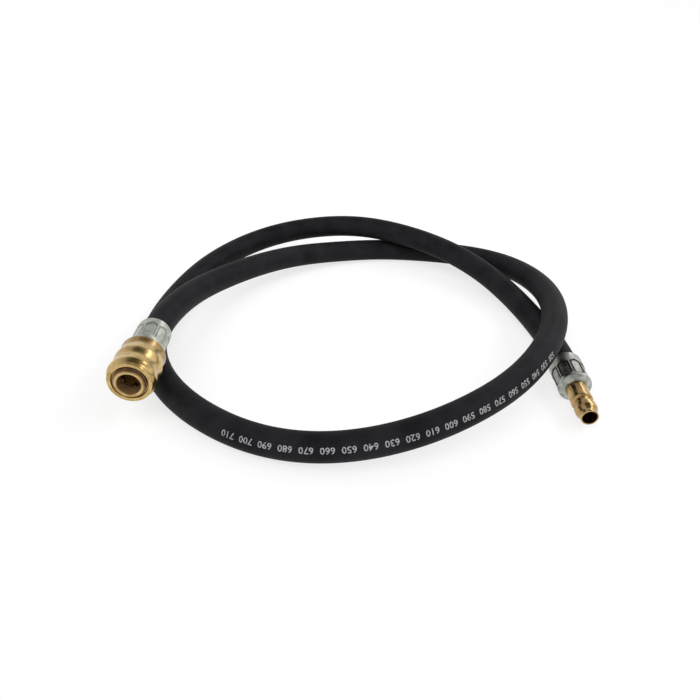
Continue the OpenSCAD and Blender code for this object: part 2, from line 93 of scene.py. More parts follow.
CAMERA_PLACE = (-13.45, -303.35, 227.33)
CAMERA_PITCH, CAMERA_ROLL, CAMERA_YAW = 32.47, 2.753, 1.048
CAMERA_LENS, CAMERA_SENSOR = 33.95, 36.0


def make_camera():
    """The photograph's view: looks along +Y turned a little towards +X, and down."""
    pitch, roll, yaw = (math.radians(a) for a in (CAMERA_PITCH, CAMERA_ROLL, CAMERA_YAW))
    right = Vector((1, 0, 0))
    ahead = Vector((0, math.cos(pitch), -math.sin(pitch)))
    up = Vector((0, math.sin(pitch), math.cos(pitch)))
    x = math.cos(roll) * right + math.sin(roll) * up
    y = -math.sin(roll) * right + math.cos(roll) * up
    turn = Matrix.Rotation(-yaw, 3, "Z")
    axes = Matrix([turn @ x, turn @ y, turn @ -ahead]).transposed()
    cam = bpy.data.objects.new("camera", bpy.data.cameras.new("camera"))
    cam.data.lens, cam.data.sensor_width = CAMERA_LENS, CAMERA_SENSOR
    cam.data.sensor_fit = "HORIZONTAL"
    cam.data.clip_start, cam.data.clip_end = 0.01, 50.0
    cam.matrix_world = Matrix.Translation(Vector(CAMERA_PLACE) * MM) @ axes.to_4x4()
    bpy.context.collection.objects.link(cam)
    bpy.context.scene.camera = cam


# ---------------------------------------------------------------- the hose's centreline

def route_points():
    """The guide points: three on each fitting's axis, and the middle ones between them."""
    start = np.array([SOCKET[0], SOCKET[1] + SOCKET_FERRULE[0] + LIP, SOCKET[2]])
    end = np.array([PLUG[0], PLUG[1] + PLUG_FERRULE[0] + LIP, PLUG[2]])
    step = np.array([0.0, END_STEP, 0.0])
    middle = [np.array(p, float) for p in ROUTE_MIDDLE]
    return np.array([start - step, start, start + step] + middle + [end + step, end, end - step])


def sweep_route(n):
    """Places and directions along the even cubic B-spline, n to a span."""
    p = route_points()
    places, ways = [], []
    for i in range(len(p) - 3):
        last = i == len(p) - 4
        for u in np.arange(n + (1 if last else 0)) / n:
            w = ((1 - u) ** 3 / 6, (3 * u ** 3 - 6 * u ** 2 + 4) / 6,
                 (-3 * u ** 3 + 3 * u ** 2 + 3 * u + 1) / 6, u ** 3 / 6)
            d = (-(1 - u) ** 2 / 2, (3 * u ** 2 - 4 * u) / 2,
                 (-3 * u ** 2 + 2 * u + 1) / 2, u ** 2 / 2)
            places.append(sum(w[k] * p[i + k] for k in range(4)))
            ways.append(sum(d[k] * p[i + k] for k in range(4)))
    places, ways = np.array(places), np.array(ways)
    return places, ways / np.linalg.norm(ways, axis=1)[:, None]


SPAN_RINGS = 16
PLACES, WAYS = sweep_route(SPAN_RINGS)
SIDES = np.cross(WAYS, [0.0, 0.0, 1.0])
SIDES /= np.linalg.norm(SIDES, axis=1)[:, None]
UPS = np.cross(SIDES, WAYS)
RUN = np.concatenate([[0], np.cumsum(np.linalg.norm(np.diff(PLACES, axis=0), axis=1))])


def on_route(s):
    """Place, side and up at a distance s along the centreline."""
    return [np.stack([np.interp(s, RUN, field[:, k]) for k in range(3)], -1)
            for field in (PLACES, SIDES, UPS)]


# ---------------------------------------------------------------- mesh helpers

def make_object(name, verts_mm, faces, body, material, smooth=True):
    """A piece from points in millimetres, which rides on a body."""
    mesh = bpy.data.meshes.new(name)
    mesh.from_pydata([tuple(v) for v in np.asarray(verts_mm, float) * MM], [], faces)
    mesh.validate()
    if smooth:
        mesh.shade_smooth()
    else:
        mesh.shade_flat()
    obj = bpy.data.objects.new(name, mesh)
    bpy.context.collection.objects.link(obj)
    obj.data.materials.append(material)
    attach(obj, body)
    return obj


def grid_faces(rows, cols, closed):
    """Quads between rows of points. Each row closes round; closed joins the last to the first."""
    faces = []
    for i in range(rows if closed else rows - 1):
        a, b = i * cols, (i + 1) % rows * cols
        faces += [(a + k, a + (k + 1) % cols, b + (k + 1) % cols, b + k) for k in range(cols)]
    return faces


# ---------------------------------------------------------------- node helpers

# Sockets of a Mix node set to colours. It has one set for each type, all under the same names.
MIX_FACTOR, MIX_A, MIX_B, MIX_RESULT = 0, 6, 7, 2


def node(nt, kind, **values):
    """A new node. A value named in_Some_Socket goes to that socket, any other to the node."""
    n = nt.nodes.new(kind)
    for key, value in values.items():
        if key.startswith("in_"):
            n.inputs[key[3:].replace("_", " ")].default_value = value
        else:
            setattr(n, key, value)
    return n


def new_material(name):
    mat = bpy.data.materials.new(name)
    mat.use_nodes = True
    nt = mat.node_tree
    return mat, nt, nt.nodes["Principled BSDF"]


def ramp(nt, source, stops):
    """A colour that follows a source through (position, colour) stops."""
    r = node(nt, "ShaderNodeValToRGB")
    els = r.color_ramp.elements
    while len(els) < len(stops):
        els.new(0.5)
    for el, (pos, colour) in zip(els, stops):
        el.position = pos
        el.color = (*colour, 1.0)
    nt.links.new(source, r.inputs["Fac"])
    return r.outputs["Color"]


def grey_ramp(nt, source, stops):
    return ramp(nt, source, [(pos, (f, f, f)) for pos, f in stops])


def noise(nt, place, scale, detail, roughness):
    tex = node(nt, "ShaderNodeTexNoise", in_Scale=scale, in_Detail=detail, in_Roughness=roughness)
    nt.links.new(place, tex.inputs["Vector"])
    return tex.outputs["Fac"]


def vary_roughness(nt, bsdf, source, low, high):
    rough = node(nt, "ShaderNodeMapRange", in_To_Min=low, in_To_Max=high)
    nt.links.new(source, rough.inputs["Value"])
    nt.links.new(rough.outputs["Result"], bsdf.inputs["Roughness"])


def bump(nt, height, strength, distance, under=None):
    """A normal raised by a height, on top of another normal where one is given."""
    b = node(nt, "ShaderNodeBump", in_Strength=strength, in_Distance=distance)
    nt.links.new(height, b.inputs["Height"])
    if under is not None:
        nt.links.new(under, b.inputs["Normal"])
    return b.outputs["Normal"]


def mix_shaders(nt, factor, first, second, output):
    """Ends a node tree with two shaders, mixed by a factor."""
    mix = node(nt, "ShaderNodeMixShader")
    nt.links.new(factor, mix.inputs["Fac"])
    nt.links.new(first.outputs[0], mix.inputs[1])
    nt.links.new(second.outputs[0], mix.inputs[2])
    nt.links.new(mix.outputs[0], nt.nodes[output].inputs["Surface"])


# ---------------------------------------------------------------- materials

TOOL_MARKS = (12.0, 2600.0, 12.0)       # noise scale of the turning marks: fine along Y only


def rubber_material(name, dark, light, roughness, gloss, grain):
    mat, nt, bsdf = new_material(name)
    bsdf.inputs["Specular IOR Level"].default_value = gloss
    place = node(nt, "ShaderNodeTexCoord").outputs["Object"]
    cloud = noise(nt, place, 60.0, 4.0, 0.6)
    fine = noise(nt, place, 1600.0, 3.0, 0.7)
    nt.links.new(ramp(nt, cloud, [(0.35, dark), (0.65, light)]), bsdf.inputs["Base Color"])
    vary_roughness(nt, bsdf, cloud, roughness - 0.06, roughness + 0.08)
    nt.links.new(bump(nt, fine, grain, 0.0002), bsdf.inputs["Normal"])
    return mat


def metal_material(name, dark, light, roughness, scale=220.0, turned=0.0,
                   mask=None, shade_and_grime=None, dull=None):
    """Metal with cloudy tarnish, a fine grain and, where turned is set, tool marks round Y.

    A mask is a function that makes the factor by which the dark colour covers it: painted shade on
    the brass, grime and painted shade on the zinc. Dull is one that makes how much less than fully
    metallic it is.
    """
    mat, nt, bsdf = new_material(name)
    bsdf.inputs["Metallic"].default_value = 1.0
    place = node(nt, "ShaderNodeTexCoord").outputs["Object"]
    cloud = noise(nt, place, scale, 4.0, 0.6)
    fine = noise(nt, place, 2600.0, 2.0, 0.6)
    colour = ramp(nt, cloud, [(0.32, dark), (0.62, light)])
    # The dark colour laid on by the mask: painted shade, and on the zinc grime as well.
    if mask is not None:
        mix = node(nt, "ShaderNodeMix", data_type="RGBA")
        nt.links.new(mask(nt, place), mix.inputs[MIX_FACTOR])
        nt.links.new(colour, mix.inputs[MIX_A])
        mix.inputs[MIX_B].default_value = (*shade_and_grime, 1.0)
        colour = mix.outputs[MIX_RESULT]
    if dull is not None:
        metallic = node(nt, "ShaderNodeMath", operation="SUBTRACT")
        metallic.inputs[0].default_value = 1.0
        nt.links.new(dull(nt, place), metallic.inputs[1])
        nt.links.new(metallic.outputs[0], bsdf.inputs["Metallic"])
    nt.links.new(colour, bsdf.inputs["Base Color"])
    vary_roughness(nt, bsdf, cloud, roughness - 0.05, roughness + 0.07)
    normal = bump(nt, fine, 0.10, 0.0001)
    if turned:
        stretch = node(nt, "ShaderNodeVectorMath", operation="MULTIPLY")
        stretch.inputs[1].default_value = TOOL_MARKS
        nt.links.new(place, stretch.inputs[0])
        rings = noise(nt, stretch.outputs["Vector"], 1.0, 2.0, 0.5)
        normal = bump(nt, rings, turned, 0.00005, under=normal)
    nt.links.new(normal, bsdf.inputs["Normal"])
    return mat


def ink_material():
    mat, nt, bsdf = new_material("print_ink")
    place = node(nt, "ShaderNodeTexCoord").outputs["Object"]
    worn = noise(nt, place, 900.0, 3.0, 0.7)
    colour = ramp(nt, worn, [(0.30, (0.10, 0.10, 0.105)), (0.58, (0.36, 0.36, 0.37))])
    nt.links.new(colour, bsdf.inputs["Base Color"])
    bsdf.inputs["Roughness"].default_value = 0.6
    return mat


# Radii in millimetres between which the painted shade on the coupling fades
MOUTH_FADE = (6.1, 6.5)                 # across the wall of the body's mouth and bore
RIM_FADE = (7.5, 7.75)                  # just inside the barrel's bevelled outer edge
RECESS_FADE = (9.45, 9.65)              # across the wall of the sleeve's recess
RADIUS_MAX = 10.0                       # anything further out counts as this
# The painted dark reflection along the sleeve's rear: from here behind the mouth, over this length
REAR_FADE_AT, REAR_FADE_LEN = 21.5, 2.0


def grime_mask(nt, place):
    """The grime and painted shade that crimped() works out for each point of a ferrule, whatever
    its place.
    """
    return node(nt, "ShaderNodeAttribute", attribute_name="grime_and_shade").outputs["Fac"]


def by_radius(nt, place, stops):
    """A factor that follows the distance, in millimetres, from the coupling's axis."""
    centre = node(nt, "ShaderNodeVectorMath", operation="SUBTRACT")
    centre.inputs[1].default_value = tuple(Vector(SOCKET) * MM)
    flat = node(nt, "ShaderNodeVectorMath", operation="MULTIPLY")
    flat.inputs[1].default_value = (1.0, 0.0, 1.0)
    reach = node(nt, "ShaderNodeVectorMath", operation="LENGTH")
    share = node(nt, "ShaderNodeMapRange", in_From_Max=RADIUS_MAX * MM)
    nt.links.new(place, centre.inputs[0])
    nt.links.new(centre.outputs["Vector"], flat.inputs[0])
    nt.links.new(flat.outputs["Vector"], reach.inputs[0])
    nt.links.new(reach.outputs["Value"], share.inputs["Value"])
    return grey_ramp(nt, share.outputs["Result"], [(r / RADIUS_MAX, f) for r, f in stops])


def inside_and_outside(nt, place, inside, outside):
    """One factor in the body's bore and another from the barrel's outer edge outwards."""
    return by_radius(nt, place, [(MOUTH_FADE[0], inside), (MOUTH_FADE[1], 0.0),
                                 (RIM_FADE[0], 0.0), (RIM_FADE[1], outside)])


def body_mask(nt, place):
    """Painted shade and dark reflection: full in the bore, and most of it over the barrel, the
    collar and the hexagon.
    """
    return inside_and_outside(nt, place, 1.0, 0.85)


def body_dull(nt, place):
    """Nearly matt in the bore, and a little less metallic where the outside takes the painted
    shade.
    """
    return inside_and_outside(nt, place, 0.8, 0.3)


def sleeve_mask(nt, place):
    """Painted shade in the sleeve's recess and narrow bore, and a painted dark reflection growing
    over its rear end.
    """
    split = node(nt, "ShaderNodeSeparateXYZ")
    start = (SOCKET[1] + REAR_FADE_AT) * MM
    fade = node(nt, "ShaderNodeMapRange", in_From_Min=start,
                in_From_Max=start + REAR_FADE_LEN * MM, in_To_Min=0.0, in_To_Max=0.5)
    nt.links.new(place, split.inputs[0])
    nt.links.new(split.outputs["Y"], fade.inputs["Value"])
    both = node(nt, "ShaderNodeMath", operation="MAXIMUM")
    nt.links.new(fade.outputs["Result"], both.inputs[0])
    recess = by_radius(nt, place, [(RECESS_FADE[0], 0.6), (RECESS_FADE[1], 0.0)])
    nt.links.new(recess, both.inputs[1])
    return both.outputs[0]


HOSE_RUBBER = rubber_material(
    "hose_rubber", (0.0080, 0.0083, 0.0094), (0.0162, 0.0166, 0.0185), 0.55, 0.06, 0.2)
SEAL_RUBBER = rubber_material(
    "seal_rubber", (0.010, 0.010, 0.010), (0.016, 0.016, 0.016), 0.55, 0.3, 0.12)
BRASS_TONES = (0.40, 0.262, 0.088), (0.64, 0.465, 0.205)
# One brown for painted shade and dark reflection: in the bore and recesses, over the body's
# outside and the sleeve's rear.
BRASS_PAINTED_SHADE = (0.22, 0.118, 0.055)
# The plug's brass is the coupling's brass made darker: painted shade.
SHADED_PLUG_BRASS = metal_material(
    "plug_brass_shaded", (0.32, 0.20, 0.071), (0.56, 0.385, 0.17), 0.26, turned=0.35)
BODY_BRASS = metal_material(
    "body_brass", *BRASS_TONES, 0.26, turned=0.35,
    mask=body_mask, shade_and_grime=BRASS_PAINTED_SHADE, dull=body_dull)
VALVE_BRASS = metal_material("valve_brass", (0.46, 0.34, 0.24), (0.72, 0.56, 0.43), 0.50)
SLEEVE_BRASS = metal_material(
    "sleeve_brass", *BRASS_TONES, 0.26, turned=0.35, mask=sleeve_mask, shade_and_grime=BRASS_PAINTED_SHADE)
# One dark colour for the ferrules' crimp lines: partly grime, partly painted shade in the creases.
ZINC_GRIME_AND_SHADE = (0.035, 0.038, 0.034)
ZINC = metal_material(
    "zinc", (0.37, 0.388, 0.345), (0.60, 0.625, 0.565), 0.46, scale=360.0,
    mask=grime_mask, shade_and_grime=ZINC_GRIME_AND_SHADE)
# The zinc in darker tones, for the plug's ferrule: painted shade.
SHADED_ZINC = metal_material(
    "shaded_zinc", (0.20, 0.21, 0.19), (0.50, 0.52, 0.475), 0.44, scale=280.0,
    mask=grime_mask, shade_and_grime=ZINC_GRIME_AND_SHADE)
STEEL = metal_material("steel", (0.50, 0.51, 0.53), (0.66, 0.67, 0.69), 0.22)
SPRING_STEEL = metal_material("spring_steel", (0.12, 0.075, 0.035), (0.22, 0.15, 0.08), 0.38)


def dress_solids():
    """Gives the CAD's own solids their materials, by slot or, for some, by name."""
    by_slot = {"brass": BODY_BRASS, "zinc_plated_steel": ZINC, "steel": STEEL,
               "seal_rubber": SEAL_RUBBER, "hose_rubber": HOSE_RUBBER}
    by_name = {"snap_ring": SPRING_STEEL, "valve_poppet": VALVE_BRASS}
    # The locking balls get the dark brown steel in place of bright steel: painted shade that dims
    # their glints in the bore.
    by_name.update({"locking_ball_%d" % i: SPRING_STEEL for i in range(1, BALLS + 1)})
    for part in FRAME["record"]["subparts"]:
        mesh = FRAME["nodes"][part["node"]].data
        mesh.materials.clear()
        mesh.materials.append(by_name.get(part["node"], by_slot[part["material_slot"]]))


# ---------------------------------------------------------------- hose

HOSE_SIDES = 48
SQUEEZED_R, SWELL = 7.78, 0.22          # radius inside a ferrule, and how much it swells
SWELL_EARLY, SWELL_RUN = 0.5, 3.0       # it starts this far inside the end, over this length


def hose_radius(s):
    """The hose swells back to its full size where it leaves a ferrule."""
    r = np.full_like(s, HOSE_OD / 2)
    for d, (front, rear) in ((s, SOCKET_FERRULE), (RUN[-1] - s, PLUG_FERRULE)):
        depth = rear - front - LIP
        r = np.minimum(
            r, SQUEEZED_R + SWELL * np.clip((d - depth + SWELL_EARLY) / SWELL_RUN, 0, 1))
    return r


def make_hose():
    angles = (np.arange(HOSE_SIDES) + 0.5) * 2 * math.pi / HOSE_SIDES
    cos, sin = np.cos(angles)[None, :, None], np.sin(angles)[None, :, None]
    radius = hose_radius(RUN)[:, None, None]
    pts = PLACES[:, None] + radius * (cos * SIDES[:, None] + sin * UPS[:, None])
    faces = [tuple(reversed(f)) for f in grid_faces(len(PLACES), HOSE_SIDES, False)]
    last = (len(PLACES) - 1) * HOSE_SIDES
    faces += [tuple(range(HOSE_SIDES)), tuple(range(last + HOSE_SIDES - 1, last - 1, -1))]
    obj = make_object("hose_skin", pts.reshape(-1, 3), faces, ROOT, HOSE_RUBBER)
    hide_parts("hose")


# ---------------------------------------------------------------- turned pieces

HOLD = 0.1                  # a point this far from each end of a long run keeps it flat
NEARLY_STRAIGHT = 1.56      # half a corner's angle, past which it needs no arc
ARC_SHARE = 0.45            # most of a side that one corner's arc takes


def rounded(corners, steps=4):
    """A closed outline from (radius, distance, rounding) corners, each rounded by an arc."""
    pts = []
    for i, (r, w, rad) in enumerate(corners):
        p = np.array([r, w])
        u = np.array(corners[i - 1][:2]) - p
        v = np.array(corners[(i + 1) % len(corners)][:2]) - p
        lu, lv = np.linalg.norm(u), np.linalg.norm(v)
        u, v = u / lu, v / lv
        half = math.acos(np.clip(u @ v, -1, 1)) / 2
        if rad <= 0 or half > NEARLY_STRAIGHT:
            pts.append(p)
            continue
        t = min(rad / math.tan(half), ARC_SHARE * lu, ARC_SHARE * lv)
        rad = t * math.tan(half)
        centre = p + (u + v) / np.linalg.norm(u + v) * rad / math.sin(half)
        a0, a1 = (math.atan2(*(p + d * t - centre)[::-1]) for d in (u, v))
        turn = (a1 - a0 + math.pi) % (2 * math.pi) - math.pi
        for k in range(steps + 1):
            a = a0 + turn * k / steps
            pts.append(centre + rad * np.array([math.cos(a), math.sin(a)]))
    out = []
    for p, q in zip(pts, pts[1:] + pts[:1]):
        out.append(p)
        run = np.linalg.norm(q - p)
        if run > 5 * HOLD:
            out += [p + (q - p) * HOLD / run, q - (q - p) * HOLD / run]
    return out


def lathe(name, outline, place, body, material, sides=144, swell=None):
    """Turns a closed outline of (radius, distance) points about a fitting's axis."""
    o = np.array(outline)
    a = np.arange(sides) * 2 * math.pi / sides
    r = np.repeat(o[None, :, 0], sides, 0)
    w = np.repeat(o[None, :, 1], sides, 0)
    grime_and_shade = None
    if swell is not None:
        r, grime_and_shade = swell(r, w, a[:, None])
    x, z = place[0] + r * np.cos(a)[:, None], place[2] + r * np.sin(a)[:, None]
    pts = np.stack([x, place[1] + w, z], -1)
    faces = grid_faces(sides, len(o), True)
    obj = make_object(name, pts.reshape(-1, 3), faces, body, material)
    bm = bmesh.new()
    bm.from_mesh(obj.data)
    bmesh.ops.recalc_face_normals(bm, faces=bm.faces)
    bm.to_mesh(obj.data)
    bm.free()
    if grime_and_shade is not None:
        layer = obj.data.attributes.new("grime_and_shade", "FLOAT", "POINT")
        layer.data.foreach_set("value", grime_and_shade.astype(np.float32).ravel())
    return obj


def wave(knots, steps):
    """Points that wave smoothly through (radius, distance) crests and valleys."""
    out = []
    for (r0, w0), (r1, w1) in zip(knots, knots[1:]):
        for k in range(steps):
            t = k / steps
            out.append((r0 + (1 - math.cos(math.pi * t)) / 2 * (r1 - r0), w0 + t * (w1 - w0), 0))
    return out + [(*knots[-1], 0)]


def make_sleeve():
    """The grip sleeve: rim, ridges and rear edge outside, then chamber, land and recess inside."""
    rim_r, recess_r = 11.75, 9.5
    rim_at, flange_at, flange_end, cone_front = 1.5, 3.17, 4.07, 5.56
    cone_back, land_at, shoulder_at, end = 10.0, 10.6, 12.4, 28.4
    ridges = wave([(rim_r, 2.5), (11.65, 3.5), (13.0, 6.0), (12.0, 12.3), (12.8, 17.0),
                   (11.8, 23.5), (12.2, 27.8)], 14)
    corners = [(recess_r, rim_at, 0.5), (rim_r, rim_at, 1.0)] + ridges + [
        (11.7, end, 0.3), (CHAMBER_R, end, 0.3), (CHAMBER_R, shoulder_at, 0),
        (LAND_R, shoulder_at, 0), (LAND_R, land_at, 0), (CONE_R - CONE_SLOPE, cone_back, 0),
        (RELIEF_R, cone_front, 0), (RELIEF_R, flange_end, 0), (LAND_R, flange_end, 0),
        (LAND_R, flange_at, 0), (recess_r, flange_at, 0)]
    obj = lathe("sleeve_skin", rounded(corners), SOCKET, "sleeve", SLEEVE_BRASS)
    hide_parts("release_sleeve")


CONE_LEN, CONE_R_FRONT = 1.7, 6.5       # the cone ahead of the plug's ferrule
BARBS, BARB_PITCH, BARB_START = 5, 4, 1.5


def make_plug():
    """The plug: nose, collar, groove and shank outside, a barbed tail, and a stepped gas bore."""
    nose_r, nose_bore_r, nose_end = 4.9, 4.1, 2.8
    collar_r, collar_at, collar_end = 6.1, 6.0, 9.4
    groove_r, groove_at, groove_end, shank_at = 4.9, 10.4, 13.2, 14.2
    neck_r, neck, face = 5.5, PLUG_FERRULE[0] - CONE_LEN, PLUG_FERRULE[0] + LIP
    tail_r, tail_bore_r, barb_r, bore_step = 4.4, 3.3, 4.9, 24.0
    barbs = []
    for b in range(BARBS):
        at = face + BARB_START + BARB_PITCH * b
        barbs += [(tail_r, at, 0), (barb_r, at + 0.3, 0), (tail_r, at + 3.2, 0)]
    tip = face + BARB_START + BARB_PITCH * BARBS
    corners = [
        (nose_bore_r, 0, 0.25), (nose_r, 0, 0.4), (nose_r, nose_end, 1.0),
        (collar_r, collar_at, 0.8), (collar_r, collar_end, 0.5), (groove_r, groove_at, 0.5),
        (groove_r, groove_end, 0.5), (collar_r, shank_at, 0.5), (collar_r, neck, 0),
        (neck_r, neck, 0), (neck_r, face, 0), (tail_r, face, 0)] + barbs + [
        (tail_bore_r, tip - 0.8, 0), (tail_bore_r, bore_step, 0), (nose_bore_r, bore_step, 0)]
    obj = lathe("plug_skin", rounded(corners, 6), PLUG, ROOT, SHADED_PLUG_BRASS)
    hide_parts("plug_nipple")


# ---------------------------------------------------------------- crimped ferrules

FERRULE_R, ROUNDING = 9.65, 1.3
PLAIN_END, CRIMP_ROWS = 1.4, 130        # rows of points for the marks stop short of the ends
CRIMPS, CRIMP_TURN = 8, 8.0
CRIMP_HALF_W, CRIMP_LEN, CRIMP_LINE, CRIMP_DEPTH, PAD_DEPTH = 3.35, 14.8, 0.8, 0.6, 0.55
CRIMP_FRONT = 1.5                       # from the ferrule's front to a mark
CRIMP_WALL = 0.4                        # width of the line's outer wall
PAD_WALL_IN, PAD_WALL = 0.3, 0.5        # the wall up to the pad starts this far in the line
PAD_KEEP = 0.4                          # a pad is midway between flat and this far sunk
MARK_ANGLE = 0.6                        # radians from a mark's middle, past which it has no part
SKIN = 0.02                             # points this near the full radius are on the outside
GRIME_SHADE_OUT, GRIME_SHADE_EDGE = 0.3, 0.5        # grime and painted shade start this far outside a mark, over this width
PAD_CLEAR, PAD_CLEAR_WIDTH = 0.85, 0.7  # and this much of it goes, over this width of the pad


def ease(t):
    t = np.clip(t, 0, 1)
    return t * t * (3 - 2 * t)


def crimped(front, soil_and_shade):
    """How a ferrule sinks at its crimp marks: pads, each in a deeper line with grime and painted
    shade.
    """
    half = CRIMP_LEN / 2
    middle = front + CRIMP_FRONT + half

    def swell(r, w, a):
        sink, grime_and_shade = np.zeros_like(r), np.zeros_like(r)
        for i in range(CRIMPS):
            at = math.radians(-CRIMP_TURN - 360 / CRIMPS * i)
            off = (a - at + math.pi) % (2 * math.pi) - math.pi
            v, u = np.abs(FERRULE_R * np.sin(off)), np.abs(w - middle)
            # how far inside the long hexagon's nearest edge a point is
            inside = np.minimum(CRIMP_HALF_W - v, (2 * (half - u) - v) / math.sqrt(5))
            line = CRIMP_DEPTH * ease(inside / CRIMP_WALL)
            # the radius of a flat pad; the 0.5 only keeps points far from the mark in bounds
            flat_r = (FERRULE_R - PAD_DEPTH) / np.maximum(np.cos(off), 0.5)
            pad = (PAD_KEEP + FERRULE_R - flat_r) / 2
            t = ease((inside - CRIMP_LINE + PAD_WALL_IN) / PAD_WALL)
            near = np.abs(off) < MARK_ANGLE
            sink = np.maximum(sink, np.where(near & (inside > 0), (1 - t) * line + t * pad, 0))
            # A dark band along each mark's line: partly dirt, partly painted shade in the crease.
            edge = ease((inside + GRIME_SHADE_OUT) / GRIME_SHADE_EDGE) * (
                1 - PAD_CLEAR * ease((inside - CRIMP_LINE) / PAD_CLEAR_WIDTH))
            grime_and_shade = np.maximum(grime_and_shade, np.where(near, soil_and_shade * edge, 0))
        outer = r > FERRULE_R - SKIN
        return np.where(outer, r - sink, r), np.where(outer, grime_and_shade, 0)
    return swell


def make_ferrule(name, ends, place, cone, material, soil_and_shade):
    """A crimped ferrule between two ends, with a cone of some length ahead of it."""
    front, rear = ends
    lip_r, bore_r = 5.55, 7.8
    nose = [(lip_r, front - cone, 0)]
    if cone:
        nose += [(CONE_R_FRONT, front - cone, 0.25), (9.19, front + 0.3, 0),
                 (FERRULE_R, front + 0.75, 1.0)]
    else:
        nose += [(FERRULE_R, front, ROUNDING)]
    rows = [(FERRULE_R, w, 0)
            for w in np.linspace(front + PLAIN_END, rear - PLAIN_END, CRIMP_ROWS)]
    corners = nose + rows + [
        (FERRULE_R, rear, ROUNDING), (8.1, rear, 0.2), (bore_r, rear - 0.6, 0),
        (bore_r, front + LIP, 0), (lip_r, front + LIP, 0)]
    obj = lathe(name + "_skin", rounded(corners, 8), place, ROOT, material,
                sides=240, swell=crimped(front, soil_and_shade))
    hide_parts(name)


# ---------------------------------------------------------------- springs

def make_spring(name, body):
    """A smooth copy of a spring's mesh, in spring steel, which rides on a body in the CAD spring's
    place.
    """
    mesh = FRAME["nodes"][name].data.copy()
    mesh.materials.clear()
    mesh.materials.append(SPRING_STEEL)
    mesh.shade_smooth()
    coil = bpy.data.objects.new(name + "_coil", mesh)
    bpy.context.collection.objects.link(coil)
    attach(coil, body)
    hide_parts(name)
    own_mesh(coil)


# ---------------------------------------------------------------- the scale on the hose

SCALE_FROM, SCALE_TO, SCALE_STEP = 520, 710, 10     # along the hose, from the coupling's end
SCALE_ANGLE = 38.5                      # degrees above the hose's outer side, at a digit's foot
GLYPH_H, GLYPH_PITCH, INK, BOLD = 3.55, 2.4, 0.04, 0.012
FONT_H, GLYPH_WIDTH = 0.73, 0.98        # height of the font's digits, and how much it narrows
GLYPH_CUTS = 6                          # strips that let a digit bend round the hose


def glyph_mesh(char):
    """A character as a thin slab, its foot at 0 and its middle at x = 0, cut across to bend."""
    curve = bpy.data.curves.new("glyph", "FONT")
    curve.body, curve.resolution_u, curve.offset = char, 2, BOLD
    text = bpy.data.objects.new("glyph", curve)
    bpy.context.collection.objects.link(text)
    bpy.context.view_layer.update()
    flat = bpy.data.meshes.new_from_object(text)
    bpy.data.objects.remove(text)
    bm = bmesh.new()
    bm.from_mesh(flat)
    bpy.data.meshes.remove(flat)
    scale = GLYPH_H / FONT_H
    xs = [v.co.x for v in bm.verts]
    middle = (min(xs) + max(xs)) / 2
    for v in bm.verts:
        v.co = Vector(((v.co.x - middle) * scale * GLYPH_WIDTH, v.co.y * scale, 0))
    for k in range(1, GLYPH_CUTS):
        bmesh.ops.bisect_plane(bm, geom=bm.verts[:] + bm.edges[:] + bm.faces[:], dist=1e-5,
                               plane_co=(0, GLYPH_H * k / GLYPH_CUTS, 0), plane_no=(0, 1, 0))
    bmesh.ops.remove_doubles(bm, verts=bm.verts, dist=1e-4)
    extruded = bmesh.ops.extrude_face_region(bm, geom=bm.faces[:])["geom"]
    for item in extruded:
        if isinstance(item, bmesh.types.BMVert):
            item.co.z = -2 * INK
    bmesh.ops.recalc_face_normals(bm, faces=bm.faces)
    bm.verts.index_update()
    verts = np.array([tuple(v.co) for v in bm.verts])
    faces = [tuple(v.index for v in f.verts) for f in bm.faces]
    bm.free()
    return verts, faces


def make_print():
    """A plain length scale in millimetres, along the outer side of the front stretch."""
    cache, verts, faces = {}, [], []
    base = 0
    for distance in range(SCALE_FROM, SCALE_TO + 1, SCALE_STEP):
        for k, char in enumerate(str(distance)):
            if char not in cache:
                cache[char] = glyph_mesh(char)
            flat, tris = cache[char]
            place, side, up = on_route(distance + (k - 1) * GLYPH_PITCH + flat[:, 0])
            angle = (math.radians(SCALE_ANGLE) - flat[:, 1] / (HOSE_OD / 2))[:, None]
            reach = (HOSE_OD / 2 + INK + flat[:, 2])[:, None]
            verts.append(place + reach * (np.cos(angle) * -side + np.sin(angle) * up))
            faces += [tuple(base + i for i in f) for f in tris]
            base += len(flat)
    make_object("hose_scale", np.concatenate(verts), faces, ROOT, ink_material(),
                smooth=False)


# ---------------------------------------------------------------- stage

FLOOR_HALF, FLOOR_DROP = 6.0, 0.0001    # metres: half its side, and how far it lies below z = 0
FLOOR_COLOUR = 0.97
FLOOR_WHITE = 0.74                      # share of plain white in what shows of the floor
WORLD_LIGHT = 0.50
# What shows and what metal mirrors, by the sine of the height above the horizon: white walls
# under a dark ceiling
ROOM = [(0.0, (1.0, 1.0, 1.0)), (0.34, (1.0, 1.0, 1.0)), (0.60, (0.62, 0.62, 0.62)),
        (0.78, (0.13, 0.125, 0.12)), (1.0, (0.09, 0.085, 0.08))]
# The same by the turn about the Y axis, from 90 degrees left to 90 degrees right: soft boxes
# on both sides of the dark
BESIDE = [(0.0, 0.65), (0.34, 0.65), (0.42, 0.0), (0.62, 0.0), (0.69, 0.65), (1.0, 0.65)]
# Name, place in metres, strength, and width in degrees
SUNS = [("key", (-0.5, -0.6, 1.2), 1.2, 40), ("fill", (0.8, -0.3, 1.0), 0.7, 60)]
SUN_TARGET = (0, 0.07, 0)
STRIP_PLACE, STRIP_TILT = (0.95, 0.75, 1.0), 45
STRIP_WIDTH, STRIP_LENGTH, STRIP_POWER = 0.25, 2.4, 8.0


